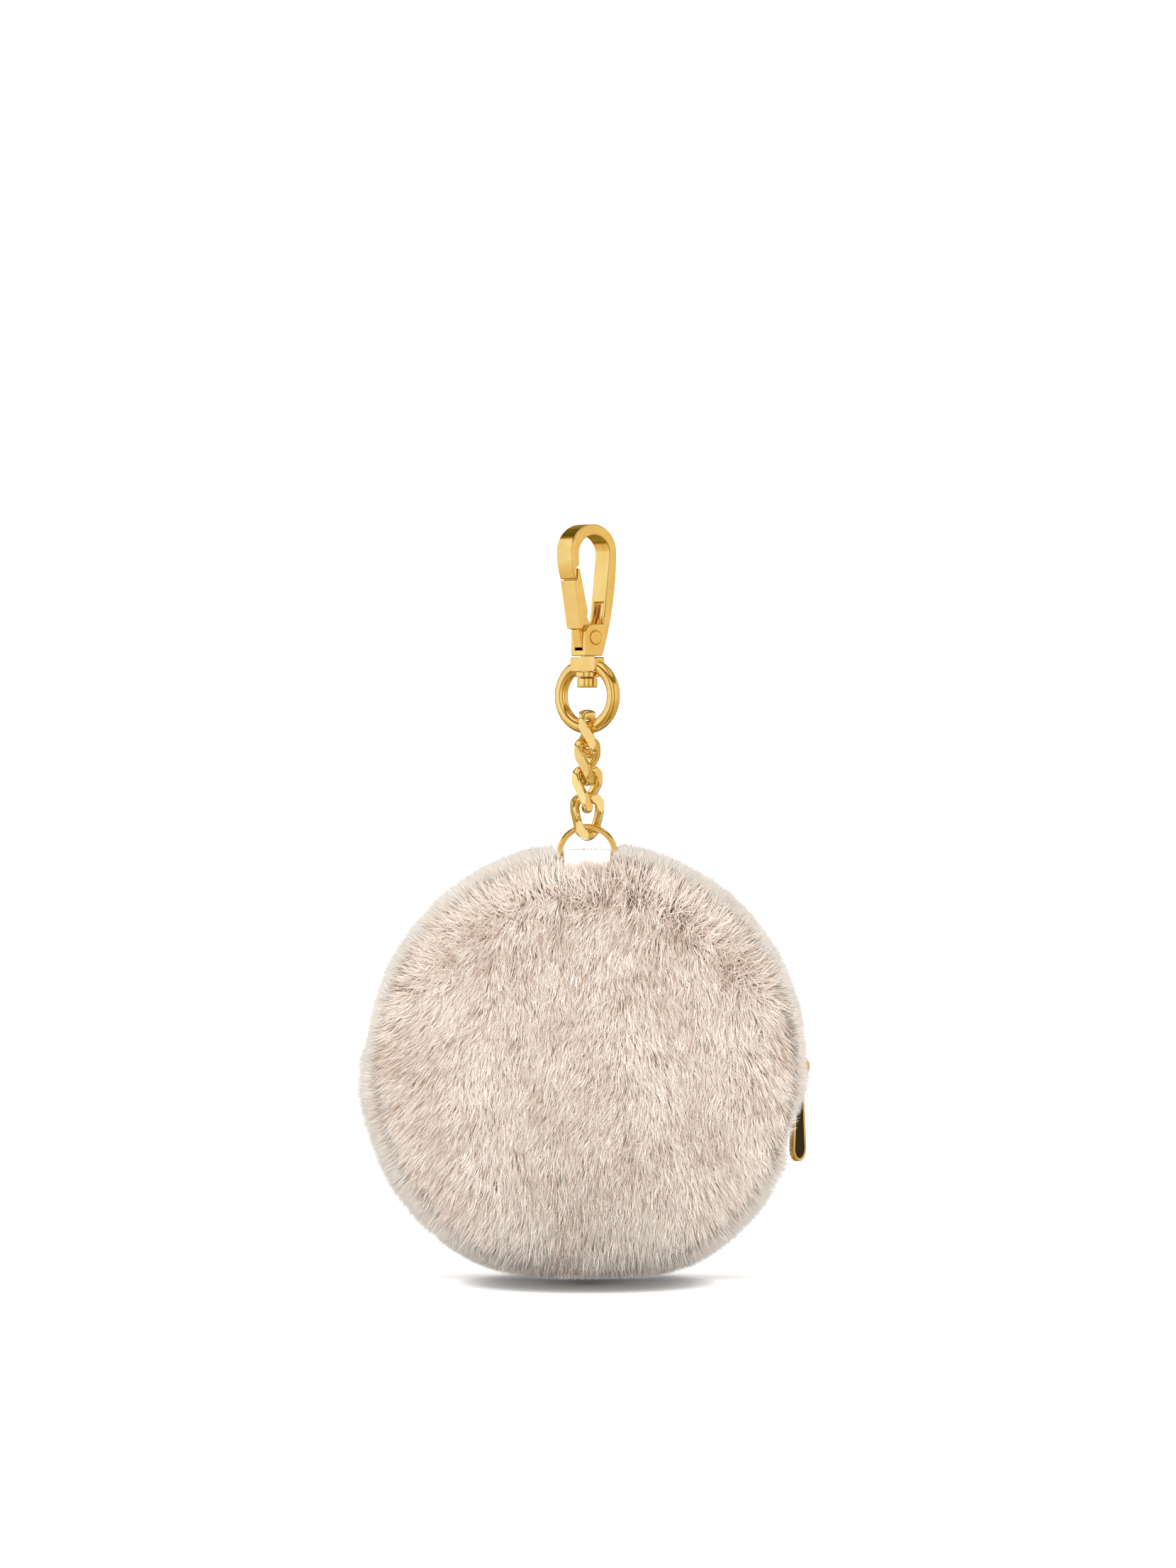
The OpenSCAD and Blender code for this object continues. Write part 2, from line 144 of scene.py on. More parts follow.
def grid_mesh(name, points, wrap_u, wrap_v, caps=False):
    """A mesh over points[i, j]; wrap joins its last row or column to the first, and caps closes its ends."""
    nu, nv = points.shape[:2]
    i, j = np.meshgrid(
        np.arange(nu if wrap_u else nu - 1), np.arange(nv if wrap_v else nv - 1), indexing="ij"
    )
    i, j = i.ravel(), j.ravel()
    ni, nj = (i + 1) % nu, (j + 1) % nv
    quads = np.stack([i * nv + j, ni * nv + j, ni * nv + nj, i * nv + nj], -1)
    corners, starts = quads.ravel(), np.arange(len(quads)) * 4
    if caps:
        first, last = np.arange(nv), (nu - 1) * nv + np.arange(nv)[::-1]
        starts = np.concatenate([starts, [len(corners), len(corners) + nv]])
        corners = np.concatenate([corners, first, last])
    return quick_mesh(name, points.reshape(-1, 3), corners, starts)


def tidy(mesh, sharp=None):
    """Joins points at one place, turns the faces outwards, and marks the edges sharper than an angle."""
    bm = bmesh.new()
    bm.from_mesh(mesh)
    bmesh.ops.remove_doubles(bm, verts=bm.verts, dist=0.004 * MM)
    bmesh.ops.dissolve_degenerate(bm, edges=bm.edges, dist=0.002 * MM)
    bmesh.ops.recalc_face_normals(bm, faces=bm.faces)
    bm.to_mesh(mesh)
    bm.free()
    mesh.polygons.foreach_set("use_smooth", np.ones(len(mesh.polygons), bool))
    if sharp:
        mesh.set_sharp_from_angle(angle=math.radians(sharp))
    return mesh


def tube(name, path, radius, material, sides=24):
    """A round wire along a path of points, drawn in a little at both ends."""
    path = np.asarray(path, float)
    along = unit(np.gradient(path, axis=0))
    side = np.zeros_like(path)
    guess = np.array([0.0, 1.0, 0.0]) if abs(along[0][1]) < 0.9 else np.array([1.0, 0.0, 0.0])
    side[0] = unit(np.cross(along[0], guess))
    for k in range(1, len(path)):
        side[k] = unit(side[k - 1] - along[k] * (side[k - 1] @ along[k]))
    up = np.cross(along, side)
    turn = np.linspace(0, 2 * math.pi, sides, endpoint=False)[None, :, None]
    radii = np.full(len(path), float(radius))
    radii[0] = radii[-1] = radius * 0.8
    points = path[:, None] + radii[:, None, None] * (
        np.cos(turn) * side[:, None] + np.sin(turn) * up[:, None]
    )
    mesh = grid_mesh(name, points, False, True, caps=True)
    return link_object(name, tidy(mesh, 50), material)


def revolve(name, profile, material, start=0.0, end=360.0, steps=144, lumps=0.0, lump_size=12.0):
    """A solid whose section is a closed outline of radius and height, turned about the pouch's axis."""
    profile = np.asarray(profile, float)
    whole = abs(end - start) >= 360
    phi = np.linspace(start, end, steps, endpoint=not whole)
    points = polar(profile[None, :, 0], phi[:, None], profile[None, :, 1])
    if lumps:
        points = points + unit(points - centre) * (lumps * ripple(points, lump_size, 7))[..., None]
    mesh = grid_mesh(name, points, whole, True, caps=not whole)
    return link_object(name, tidy(mesh, 40), material)


SHARP = math.radians(32)  # an edge between faces that turn more than this is rounded


def finished(name, node, material, bevel, smooth_levels=0, merge=0.003):
    """A copy of a CAD node's shape with its edges rounded and its surface smoothed, which stands for it."""
    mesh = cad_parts[node].data.copy()
    mesh.name = name
    bm = bmesh.new()
    bm.from_mesh(mesh)
    bmesh.ops.remove_doubles(bm, verts=bm.verts, dist=merge * MM)
    bmesh.ops.dissolve_limit(
        bm, angle_limit=math.radians(0.6), verts=bm.verts, edges=bm.edges, use_dissolve_boundaries=False
    )
    bmesh.ops.recalc_face_normals(bm, faces=bm.faces)
    if bevel:
        sharp = [e for e in bm.edges if e.is_manifold and e.calc_face_angle() > SHARP]
        bmesh.ops.bevel(
            bm, geom=sharp, offset=bevel * MM, offset_type="OFFSET", segments=3, profile=0.5,
            affect="EDGES", clamp_overlap=False, harden_normals=False, material=-1,
        )
        bmesh.ops.remove_doubles(bm, verts=bm.verts, dist=0.002 * MM)
    bmesh.ops.triangulate(bm, faces=[f for f in bm.faces if len(f.verts) > 4])
    bm.to_mesh(mesh)
    bm.free()
    mesh.materials.clear()
    mesh.polygons.foreach_set("use_smooth", np.ones(len(mesh.polygons), bool))
    mesh.set_sharp_from_angle(angle=SHARP)
    o = link_object(name, mesh, material)
    if smooth_levels:
        subdivision = o.modifiers.new("subdivision", "SUBSURF")
        subdivision.levels = subdivision.render_levels = smooth_levels
    else:
        o.modifiers.new("flat faces stay flat", "WEIGHTED_NORMAL").keep_sharp = True
    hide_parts(node)
    return o


# ---- materials ----

def srgb(r, g, b):
    """A colour as the eye reads it, from 0 to 255, in the linear values that shaders take."""
    c = np.array([r, g, b]) / 255
    return tuple(np.where(c <= 0.04045, c / 12.92, ((c + 0.055) / 1.055) ** 2.4)) + (1.0,)


class Look:
    """A material with one Principled shader, and short ways to drive its colour, roughness and bump."""

    def __init__(self, name, colour, roughness, **plain):
        self.material = bpy.data.materials.new(name)
        self.material.use_nodes = True
        self.tree = self.material.node_tree
        self.shader = self.tree.nodes["Principled BSDF"]
        self.shader.inputs["Base Color"].default_value = colour
        self.shader.inputs["Roughness"].default_value = roughness
        for socket, value in plain.items():
            self.shader.inputs[socket.replace("_", " ")].default_value = value
        self.material.diffuse_color = colour

    def node(self, kind, **settings):
        n = self.tree.nodes.new("ShaderNode" + kind)
        for key, value in settings.items():
            setattr(n, key, value)
        return n

    def join(self, a, b):
        self.tree.links.new(a, b)

    def place(self, scale=(1, 1, 1), move=(0, 0, 0)):
        """Object coordinates in millimetres, stretched by scale and moved."""
        mapping = self.node("Mapping")
        mapping.inputs["Scale"].default_value = [s / MM for s in scale]
        mapping.inputs["Location"].default_value = move
        self.join(self.node("TexCoord").outputs["Object"], mapping.inputs["Vector"])
        return mapping.outputs["Vector"]

    def noise(self, size, detail=3.0, stretch=(1, 1, 1), roughness=0.5):
        n = self.node("TexNoise")
        n.inputs["Scale"].default_value = 1 / size
        n.inputs["Detail"].default_value = detail
        n.inputs["Roughness"].default_value = roughness
        self.join(self.place(stretch), n.inputs["Vector"])
        return n.outputs["Fac"]

    def waves(self, size, direction, distortion=0.0):
        n = self.node("TexWave", bands_direction=direction)
        n.inputs["Scale"].default_value = 0.314 / size
        n.inputs["Distortion"].default_value = distortion
        self.join(self.place(), n.inputs["Vector"])
        return n.outputs["Fac"]

    def ramp(self, factor, stops):
        n = self.node("ValToRGB")
        for _ in range(len(stops) - 2):
            n.color_ramp.elements.new(0.5)
        for element, (at, colour) in zip(n.color_ramp.elements, stops):
            element.position = at
            element.color = colour
        self.join(factor, n.inputs["Fac"])
        return n.outputs["Color"]

    def mix(self, factor, a, b, blend="MIX"):
        n = self.node("Mix", data_type="RGBA", blend_type=blend)
        for socket, value in ((n.inputs["Factor"], factor), (n.inputs["A"], a), (n.inputs["B"], b)):
            self.feed(socket, value)
        return n.outputs["Result"]

    def feed(self, socket, value):
        if isinstance(value, bpy.types.NodeSocket):
            self.join(value, socket)
        else:
            socket.default_value = value

    def math(self, operation, a, b):
        n = self.node("Math", operation=operation)
        self.feed(n.inputs[0], a)
        self.feed(n.inputs[1], b)
        return n.outputs["Value"]

    def span(self, factor, low, high):
        n = self.node("MapRange")
        self.join(factor, n.inputs["Value"])
        n.inputs["To Min"].default_value = low
        n.inputs["To Max"].default_value = high
        return n.outputs["Result"]

    def colour(self, socket):
        self.join(socket, self.shader.inputs["Base Color"])

    def rough(self, factor, low, high):
        self.join(self.span(factor, low, high), self.shader.inputs["Roughness"])

    def bump(self, height, depth, strength=1.0):
        """depth is how far the bumps stand out, in millimetres."""
        n = self.node("Bump")
        n.inputs["Distance"].default_value = depth * MM
        n.inputs["Strength"].default_value = strength
        self.join(height, n.inputs["Height"])
        self.join(n.outputs["Normal"], self.shader.inputs["Normal"])


def polished_metal(name, light, deep, roughness):
    """Plated metal: soft colour drift, fine hairlines and rubbed patches."""
    look = Look(name, light, roughness, Metallic=1.0)
    drift = look.noise(5.0, 2.0)
    look.colour(look.ramp(drift, [(0.35, deep), (0.62, light)]))
    hairlines = look.noise(0.35, 4.0, (1, 1, 0.12), 0.6)
    rubbed = look.math("MULTIPLY", hairlines, look.noise(2.2, 2.0))
    look.rough(rubbed, roughness * 0.7, roughness * 1.9)
    look.bump(look.noise(2.6, 3.0), 0.012, 0.5)
    return look.material


def fur_material(name, dark, light):
    """Strand colour by its UV: the tone of the strand across, and the way from root to tip along."""
    look = Look(name, light[-1], 0.7, Sheen_Weight=0.1, Sheen_Roughness=0.5, Specular_IOR_Level=0.1)
    split = look.node("SeparateXYZ")
    look.join(look.node("UVMap", uv_map=UV_LAYER).outputs["UV"], split.inputs["Vector"])
    ramps = [
        look.ramp(split.outputs["Y"], [(0.0, root), (0.5, middle), (1.0, tip)])
        for root, middle, tip in (dark, light)
    ]
    look.colour(look.mix(split.outputs["X"], *ramps))
    return look.material


def pelt_material():
    look = Look("pelt_backing", srgb(228, 202, 178), 0.9, Sheen_Weight=0.3)
    tufts = look.noise(0.9, 4.0)
    look.colour(look.ramp(tufts, [(0.3, srgb(206, 176, 150)), (0.7, srgb(240, 218, 196))]))
    look.bump(tufts, 0.5)
    return look.material


def leather_material():
    look = Look("white_leather_grain", srgb(238, 234, 227), 0.42, Specular_IOR_Level=0.45)
    cells = look.node("TexVoronoi", feature="DISTANCE_TO_EDGE")
    cells.inputs["Scale"].default_value = 1 / 0.55
    look.join(look.place(), cells.inputs["Vector"])
    shade = look.noise(3.0, 3.0)
    look.colour(look.ramp(shade, [(0.3, srgb(231, 226, 217)), (0.7, srgb(240, 237, 231))]))
    look.rough(look.noise(0.8, 2.0), 0.34, 0.55)
    look.bump(cells.outputs["Distance"], 0.06, 0.7)
    return look.material


def thread_material():
    look = Look("waxed_thread", srgb(244, 240, 232), 0.55, Sheen_Weight=0.2)
    twist = look.waves(0.16, "DIAGONAL", 1.0)
    look.colour(look.ramp(twist, [(0.2, srgb(222, 216, 205)), (0.8, srgb(250, 247, 241))]))
    look.bump(twist, 0.05)
    return look.material


def satin_material():
    look = Look("satin_weave", srgb(224, 211, 194), 0.34, Sheen_Weight=0.5, Sheen_Roughness=0.3)
    weave = look.mix(0.5, look.waves(0.28, "X", 0.6), look.waves(0.2, "Z", 0.6))
    look.colour(look.ramp(look.noise(9.0, 2.0), [(0.3, srgb(211, 196, 177)), (0.7, srgb(233, 222, 207))]))
    look.rough(look.noise(1.2, 3.0, (0.3, 1, 1)), 0.26, 0.46)
    look.bump(weave, 0.03, 0.6)
    return look.material


def tape_material():
    look = Look("zip_tape_weave", srgb(222, 208, 190), 0.75, Sheen_Weight=0.25)
    weave = look.mix(0.5, look.waves(0.35, "Y"), look.waves(0.3, "DIAGONAL", 0.8))
    look.colour(look.ramp(weave, [(0.2, srgb(196, 180, 160)), (0.8, srgb(231, 219, 203))]))
    look.bump(weave, 0.06, 0.8)
    return look.material


def wadding_material():
    look = Look("polyester_wadding", srgb(242, 240, 235), 0.95, Sheen_Weight=0.4)
    fluff = look.noise(1.6, 6.0, (1, 1, 0.6), 0.65)
    look.colour(look.ramp(fluff, [(0.3, srgb(226, 223, 216)), (0.7, srgb(248, 247, 244))]))
    look.bump(fluff, 0.6)
    return look.material


def enamel_material():
    look = Look("dark_enamel_gloss", srgb(9, 6, 4), 0.3, Specular_IOR_Level=0.1)
    look.colour(look.ramp(look.noise(2.0, 3.0), [(0.35, srgb(5, 3, 2)), (0.8, srgb(18, 11, 7))]))
    look.rough(look.noise(1.0, 4.0), 0.14, 0.3)
    look.bump(look.noise(1.8, 2.0), 0.01, 0.4)
    return look.material


# Painted contact shadow where the pouch rests on the floor: its half width, half depth and shift to the front
SHADOW_WIDE, SHADOW_DEEP, SHADOW_AHEAD = 29, 38, 10


def floor_material():
    """White paper that glows evenly, with a soft painted contact shadow where the pouch rests on it; the glow
    fades out inside the shadow.
    """
    look = Look("studio_floor_painted_shadow", (0.9, 0.9, 0.9, 1.0), 0.6, Emission_Color=(1, 1, 1, 1))
    shadow_spot = look.node("TexGradient", gradient_type="SPHERICAL")
    look.join(
        look.place((1 / SHADOW_WIDE, 1 / SHADOW_DEEP, 0), (0, SHADOW_AHEAD / SHADOW_DEEP, 0)), shadow_spot.inputs["Vector"]
    )
    # Painted contact shadow: a soft dark ellipse in the floor's colour, darkest under the pouch.
    shade = look.ramp(shadow_spot.outputs["Fac"], [
        (0.0, (1, 1, 1, 1)), (0.08, (0.62, 0.62, 0.63, 1)), (0.24, (0.22, 0.22, 0.225, 1)),
        (0.4, (0.07, 0.07, 0.075, 1)), (1.0, (0.05, 0.05, 0.055, 1)),
    ])
    paper = look.ramp(look.noise(60.0, 2.0), [(0.3, (0.89, 0.89, 0.89, 1)), (0.7, (0.92, 0.92, 0.92, 1))])
    look.colour(look.mix(1.0, paper, shade, "MULTIPLY"))
    # The floor's glow fades out inside the painted shadow.
    look.join(look.span(shadow_spot.outputs["Fac"], 0.3, 0.0), look.shader.inputs["Emission Strength"])
    return look.material


GOLD = polished_metal("gold_plate_polished", srgb(250, 226, 172), srgb(244, 216, 154), 0.09)
# A lighter copy of the plated gold for the links: the paler base colour is painted brightness standing in for
# the pale reflections on their facets.
LINK_GOLD_PAINTED_LIGHTER = polished_metal("gold_plate_links_painted_lighter", srgb(255, 238, 198), srgb(250, 229, 180), 0.12)
GATE_GOLD = polished_metal("gold_plate_gate", srgb(252, 229, 180), srgb(247, 219, 164), 0.11)
WIRE_GOLD = polished_metal("gold_wire_drawn", srgb(249, 224, 170), srgb(241, 211, 150), 0.13)
ZIP_GOLD = polished_metal("gold_zip_plate", srgb(246, 216, 160), srgb(234, 198, 136), 0.16)
COPPER = polished_metal("copper_spring_wire", srgb(214, 138, 74), srgb(176, 98, 44), 0.22)
PELT = pelt_material()
LEATHER = leather_material()
THREAD = thread_material()
SATIN = satin_material()
TAPE = tape_material()
WADDING = wadding_material()
ENAMEL = enamel_material()
FUR = fur_material(
    "faux_fur_face",
    (srgb(136, 100, 76), srgb(162, 129, 104), srgb(184, 154, 131)),
    (srgb(218, 184, 154), srgb(247, 234, 220), srgb(252, 247, 240)),
)
# The pile of the rim and gusset is the same fur as the face, given lighter roots and less contrast: painted
# light that stands in for the soft, lit halo round the outline.
RIM_FUR_PAINTED_HALO = fur_material(
    "faux_fur_rim_painted_halo",
    (srgb(186, 166, 148), srgb(202, 188, 175), srgb(211, 201, 191)),
    (srgb(214, 198, 184), srgb(224, 215, 206), srgb(227, 221, 214)),
)


# ---- fur ----

STEPS = np.array([0.0, 0.55])  # where a strand has a ring of points, along its way from root to tip
WAIST = np.array([0.9, 0.85])  # the strand's thickness at each ring


def strand_mesh(name, roots, start, end, width, tone):
    """A closed, tapered, three-sided strand for each root: it leaves along start and ends at root + end."""
    n, k = len(roots), len(STEPS)
    t = STEPS[None, :, None]
    path = roots[:, None] + 2 * t * (1 - t) * start[:, None] + t * t * end[:, None]
    along = unit(2 * (1 - 2 * t) * start[:, None] + 2 * t * end[:, None])
    side = unit(np.cross(along, unit(rng.normal(size=(n, 1, 3)))))
    up = np.cross(along, side)
    turn = np.radians([90, 210, 330])[None, None, :, None]
    ring = path[:, :, None] + (width[:, None] * WAIST)[:, :, None, None] * (
        np.cos(turn) * side[:, :, None] + np.sin(turn) * up[:, :, None]
    )
    points = np.concatenate([ring.reshape(n, 3 * k, 3), (roots + end)[:, None]], 1)
    faces = [[2, 1, 0]]
    for i in range(k - 1):
        for j in range(3):
            a, b = 3 * i + j, 3 * i + (j + 1) % 3
            faces.append([a, b, b + 3, a + 3])
    for j in range(3):
        faces.append([3 * k - 3 + j, 3 * k - 3 + (j + 1) % 3, 3 * k])
    one = np.concatenate(faces)
    sizes = np.array([len(f) for f in faces])
    first = np.cumsum(sizes) - sizes
    per = 3 * k + 1
    corners = (np.arange(n)[:, None] * per + one[None]).ravel()
    starts = (np.arange(n)[:, None] * len(one) + first[None]).ravel()
    v = np.concatenate([np.repeat(STEPS, 3), [1.0]])[one]
    spread = np.concatenate([np.tile([-0.012, 0.0, 0.012], k), [0.0]])[one]
    uv = np.stack([
        np.clip(tone[:, None] + spread[None], 0.001, 0.999),
        np.broadcast_to(np.clip(v, 0.004, 0.996)[None], (n, len(one))),
    ], -1).reshape(-1, 2)
    return quick_mesh(name, points.reshape(-1, 3), corners, starts, uv)


TUFT = 8  # strands to a tuft
TUFT_PULL = 0.22  # how far a tuft's tips are drawn together


def tufted(roots, end):
    """Draws neighbouring tips together, as pile lies in tufts. Gives the ends and each strand's tuft."""
    picks = rng.choice(len(roots), len(roots) // TUFT, replace=False)
    tree = KDTree(len(picks))
    for i, k in enumerate(picks):
        tree.insert(roots[k], i)
    tree.balance()
    tuft = np.array([tree.find(p)[1] for p in roots])
    leader = picks[tuft]
    pull = rng.uniform(0.4, 1.0, (len(roots), 1)) * TUFT_PULL
    return end + pull * (roots[leader] + end[leader] - roots - end), tuft


# The pouch's outline over its pile: angle about its axis, and radius
OUTLINE = np.array([
    (0, 47.2), (30, 48.0), (70, 48.4), (80.5, 48.1), (82.5, 46.0), (97.5, 46.0), (99.5, 48.1), (110, 48.4),
    (140, 48.4), (175, 47.9), (179, 49.6), (188, 50.3), (225, 50.3), (246, 49.5), (270, 48.0), (296, 49.2),
    (332, 48.9), (339, 46.4), (349, 46.6), (356, 48.2), (360, 47.2),
])
FLAT_HALF = 9.0  # half the width that rests on the floor
FLAT_RISE = 0.0125  # how fast the outline rounds up beside it


def within_outline(roots, start, end):
    """Keeps the tips inside the pouch's outline and off the floor, where the pile lies flat and rounds up."""
    n = len(roots)
    tip = roots + end
    from_centre = tip - centre
    r = np.hypot(from_centre[:, 0], from_centre[:, 2])
    phi = np.degrees(np.arctan2(from_centre[:, 2], from_centre[:, 0])) % 360
    most = np.interp(phi, OUTLINE[:, 0], OUTLINE[:, 1]) * (0.985 + 0.03 * rng.uniform(0, 1, n) ** 1.5)
    keep = np.minimum(1, most / r)[:, None]
    tip = np.where([True, False, True], centre + from_centre * keep, tip)
    rise = FLAT_RISE * np.maximum(np.abs(tip[:, 0] - centre[0]) - FLAT_HALF, 0) ** 2
    low = floor_z + 0.2 + rise + rng.uniform(0, 0.5, n)
    sunk = np.minimum(tip[:, 2] - low, 0)
    tip[:, 2] -= sunk
    tip[:, 1] += sunk * np.where(roots[:, 1] < centre[1], 0.5, -0.5)
    start[:, 2] = np.maximum(start[:, 2], floor_z + 0.3 - roots[:, 2])
    return start, tip - roots


FLECKS = 0.14  # share of the strands that are brown


def grow_fur(name, roots, out, comb, length, tone, rise, lay, material=None, width=0.095, calm=0.0):
    """A piece of pile: strands leave the pelt along out and lie down along comb. calm evens their tones."""
    n = len(roots)
    length = length * rng.uniform(0.8, 1.1, n)
    comb = unit(comb + rng.normal(size=(n, 3)) * 0.28)
    out = unit(out + rng.normal(size=(n, 3)) * 0.12)
    rise, lay = np.broadcast_to(rise, n)[:, None], np.broadcast_to(lay, n)[:, None]
    end = length[:, None] * (out * rise + comb * lay)
    end, tuft = tufted(roots, end)
    start = length[:, None] * (out * 0.42 + comb * 0.1)
    start, end = within_outline(roots, start, end)
    tuft_tone = rng.normal(size=tuft.max() + 1) * 0.10
    flecks = np.where(rng.uniform(size=n) < FLECKS, -0.68, 0.06)
    uneven = tuft_tone[tuft] + flecks + rng.normal(size=n) * 0.10
    tone = np.clip(tone + uneven * (1 - calm), 0.02, 0.98)
    width = width * rng.uniform(0.75, 1.2, n)
    o = link_object(name, strand_mesh(name, roots, start, end, width, tone), material or FUR)
    return o


def dome(r):
    """Height of a panel's pelt at a radius: crowned by the wadding, and drawn in at the seam."""
    x = np.clip(1 - (r / seam_r) ** 2, 0, 1)
    return seam_h + CROWN * x ** 0.55


def dome_slope(r):
    step = 0.05
    return (dome(r + step) - dome(r - step)) / (2 * step)


def axes(phi):
    a = np.radians(phi)
    zero = np.zeros_like(a)
    radial = np.stack([np.cos(a), zero, np.sin(a)], -1)
    around = np.stack([-np.sin(a), zero, np.cos(a)], -1)
    return radial, around


DOWN = np.array([0.0, 0.0, -1.0])


# Darker clumps of the panels' pile: place from the centre, size and strength. Below 0, a clump is lighter:
# that one, beside the tab, is painted light that lifts the shade at the parting.
CLUMPS = (
    (2, 38, 5, 0.8), (-5, 35, 5, 0.7), (-17, 29, 6, 0.6), (-28, 25, 6, 0.8), (10, 37, 4, -0.7),
    (20, 29, 5, 1.3), (31, 26, 5, 0.8), (13, 20, 5, 0.6), (11, -14, 5, 0.6), (-8, -42, 5, 0.9),
    (-26, -33, 6, 0.5), (-2, -26, 5, 0.5), (-32, 0, 6, 0.5), (-14, 8, 5, 0.4), (9, -41, 5, 0.4),
)


def panel_fur(name, count, side, low, high):
    """Pile of a sector of the front panel (side 1) or the back panel (side -1). It is combed down, and
    fans out to the rim; along the upper seam it parts, and the pile outside the parting stands up."""
    r = (seam_r - 0.1) * np.sqrt(rng.uniform(0, 1, count))
    phi = rng.uniform(low, high, count)
    roots = polar(r, phi, side * dome(r))
    radial, around = axes(phi)
    forward = np.array([0.0, -side, 0.0])
    out = unit(forward - radial * np.clip(dome_slope(r), -1.6, 0)[:, None])
    x, z = roots[:, 0] - centre[0], roots[:, 2] - centre[2]
    part = r / seam_r + 0.02 * ripple(roots, 15, 8)
    edge = smooth(0.45, 1.0, r / seam_r)
    top = smooth(0.1, 0.75, z / seam_r)
    flip = smooth(0.86, 0.98, part + 0.08 * rng.normal(size=count)) * smooth(0.2, 0.5, z / seam_r)
    fan = edge * (1 - top) * np.where(x * side < 0, 1.0, 0.6)
    swirl = -0.14 + 0.3 * ripple(roots, 26, 3) + 0.3 * ripple(roots, 7, 4)
    comb = (DOWN + radial * fan[:, None]) * (1 - flip[:, None]) + radial * flip[:, None] * 1.3
    comb[:, 0] += swirl * (1 - 0.5 * flip)
    comb = unit(comb - out * (comb * out).sum(-1, keepdims=True))
    parting = np.exp(-((part - 0.925) / 0.045) ** 2) * smooth(0.25, 0.6, z / seam_r)
    # Darker clumps of pile, and one lighter patch painted over the shade at the parting.
    clumps_and_painted_light = sum(
        strength * np.exp(-((x - at_x) ** 2 + (z - at_z) ** 2) / size ** 2)
        for at_x, at_z, size, strength in CLUMPS
    ) * smooth(-0.9, 0.7, ripple(roots, 5, 11)) * (1 - flip)
    # The pile is painted darker at the parting, as shade in its crease.
    tone = 0.74 + 0.08 * ripple(roots, 14, 5) - 0.16 * parting * (1 - flip) - 0.36 * clumps_and_painted_light - 0.05 * flip
    # Painted light: the pile is made lighter towards the bottom, where the pouch's underside is in shade.
    tone += 0.15 * smooth(-0.5, -0.95, z / seam_r)
    by_tab = (np.abs(x) < 5.6) & (z > 0) & (part > 0.93) & (side > 0)
    length = 6.9 - 0.3 * parting - 0.5 * clumps_and_painted_light + 0.4 * flip + 1.0 * edge * (1 - flip)
    length = np.where(by_tab, 5.6, length)
    lay = 0.62 + 0.08 * edge + 0.08 * ripple(roots, 6, 9)
    return grow_fur(name, roots, out, comb, length, tone, 0.66, lay, calm=0.75 * flip)


def rim_fur(name, count, side, start=ZIP_RIGHT, end=ZIP_LEFT):
    """Pile of the strip along the zip: it stands out from the rim and leans away from the zip."""
    phi = rng.uniform(start, end, count)
    h = rng.uniform(RIM_IN, seam_h - 0.05, count)
    roots = polar(seam_r + PELT_T - 0.1, phi, side * h)
    radial, around = axes(phi)
    forward = np.array([0.0, -side, 0.0])
    across = (h - RIM_IN) / (seam_h - RIM_IN)
    swirl = 0.45 * ripple(roots, 22, 13) + 0.25 * ripple(roots, 6, 14)
    comb = radial * 0.7 + forward * (0.4 + 1.1 * across[:, None]) + around * swirl[:, None] + DOWN * 0.1
    length = 7.9 + 0.4 * ripple(roots, 17, 15)
    tab = (side > 0) & (np.abs(roots[:, 0] - centre[0]) < 5.6) & (roots[:, 2] > centre[2])
    length = np.where(tab, 4.4, length)
    comb = np.where(tab[:, None], radial * 0.8 - forward * 0.5, comb)
    tone = 0.72 + 0.12 * ripple(roots, 12, 16)
    return grow_fur(name, roots, radial, unit(comb), length, tone, 0.55, 0.5, RIM_FUR_PAINTED_HALO, 0.1)


def gusset_fur(name, count, start, end):
    """Pile of the gusset: it stands out all round, and lies flat on the floor and round the puller."""
    phi = rng.uniform(start, end, count)
    h = rng.uniform(-seam_h + 0.05, seam_h - 0.05, count)
    roots = polar(seam_r + 0.35 - 0.35 * (h / seam_h) ** 2, phi, h)
    radial, around = axes(phi)
    forward = np.array([0.0, -1.0, 0.0])
    swirl = 0.4 * ripple(roots, 22, 23) + 0.25 * ripple(roots, 6, 24)
    upwards = smooth(188, ZIP_LEFT, phi) * -1.1 + smooth(340, 349, phi) * 1.1
    comb = (
        radial * 0.7 + forward * (h / seam_h * 0.7)[:, None]
        + around * (swirl + upwards)[:, None] + DOWN * 0.35 * (1 - np.abs(upwards[:, None]))
    )
    z = roots[:, 2] - slider_z
    by_puller = (
        smooth(8.0, 5.2, np.abs(h)) * smooth(-25, -21, z) * smooth(6, 4, z) * (roots[:, 0] > centre[0])
    )
    length = 10.0 + 0.5 * ripple(roots, 17, 25)
    length += (2.6 - length) * by_puller
    tone = 0.62 + 0.14 * ripple(roots, 12, 26)
    return grow_fur(name, roots, radial, unit(comb), length, tone, 0.58, 0.45, RIM_FUR_PAINTED_HALO, 0.1)


def across_fold(o):
    """Bakes the piece's placement into its mesh."""
    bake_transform(o)


FRONT_STRANDS, BACK_STRANDS, SECTORS = 17600, 13600, 5


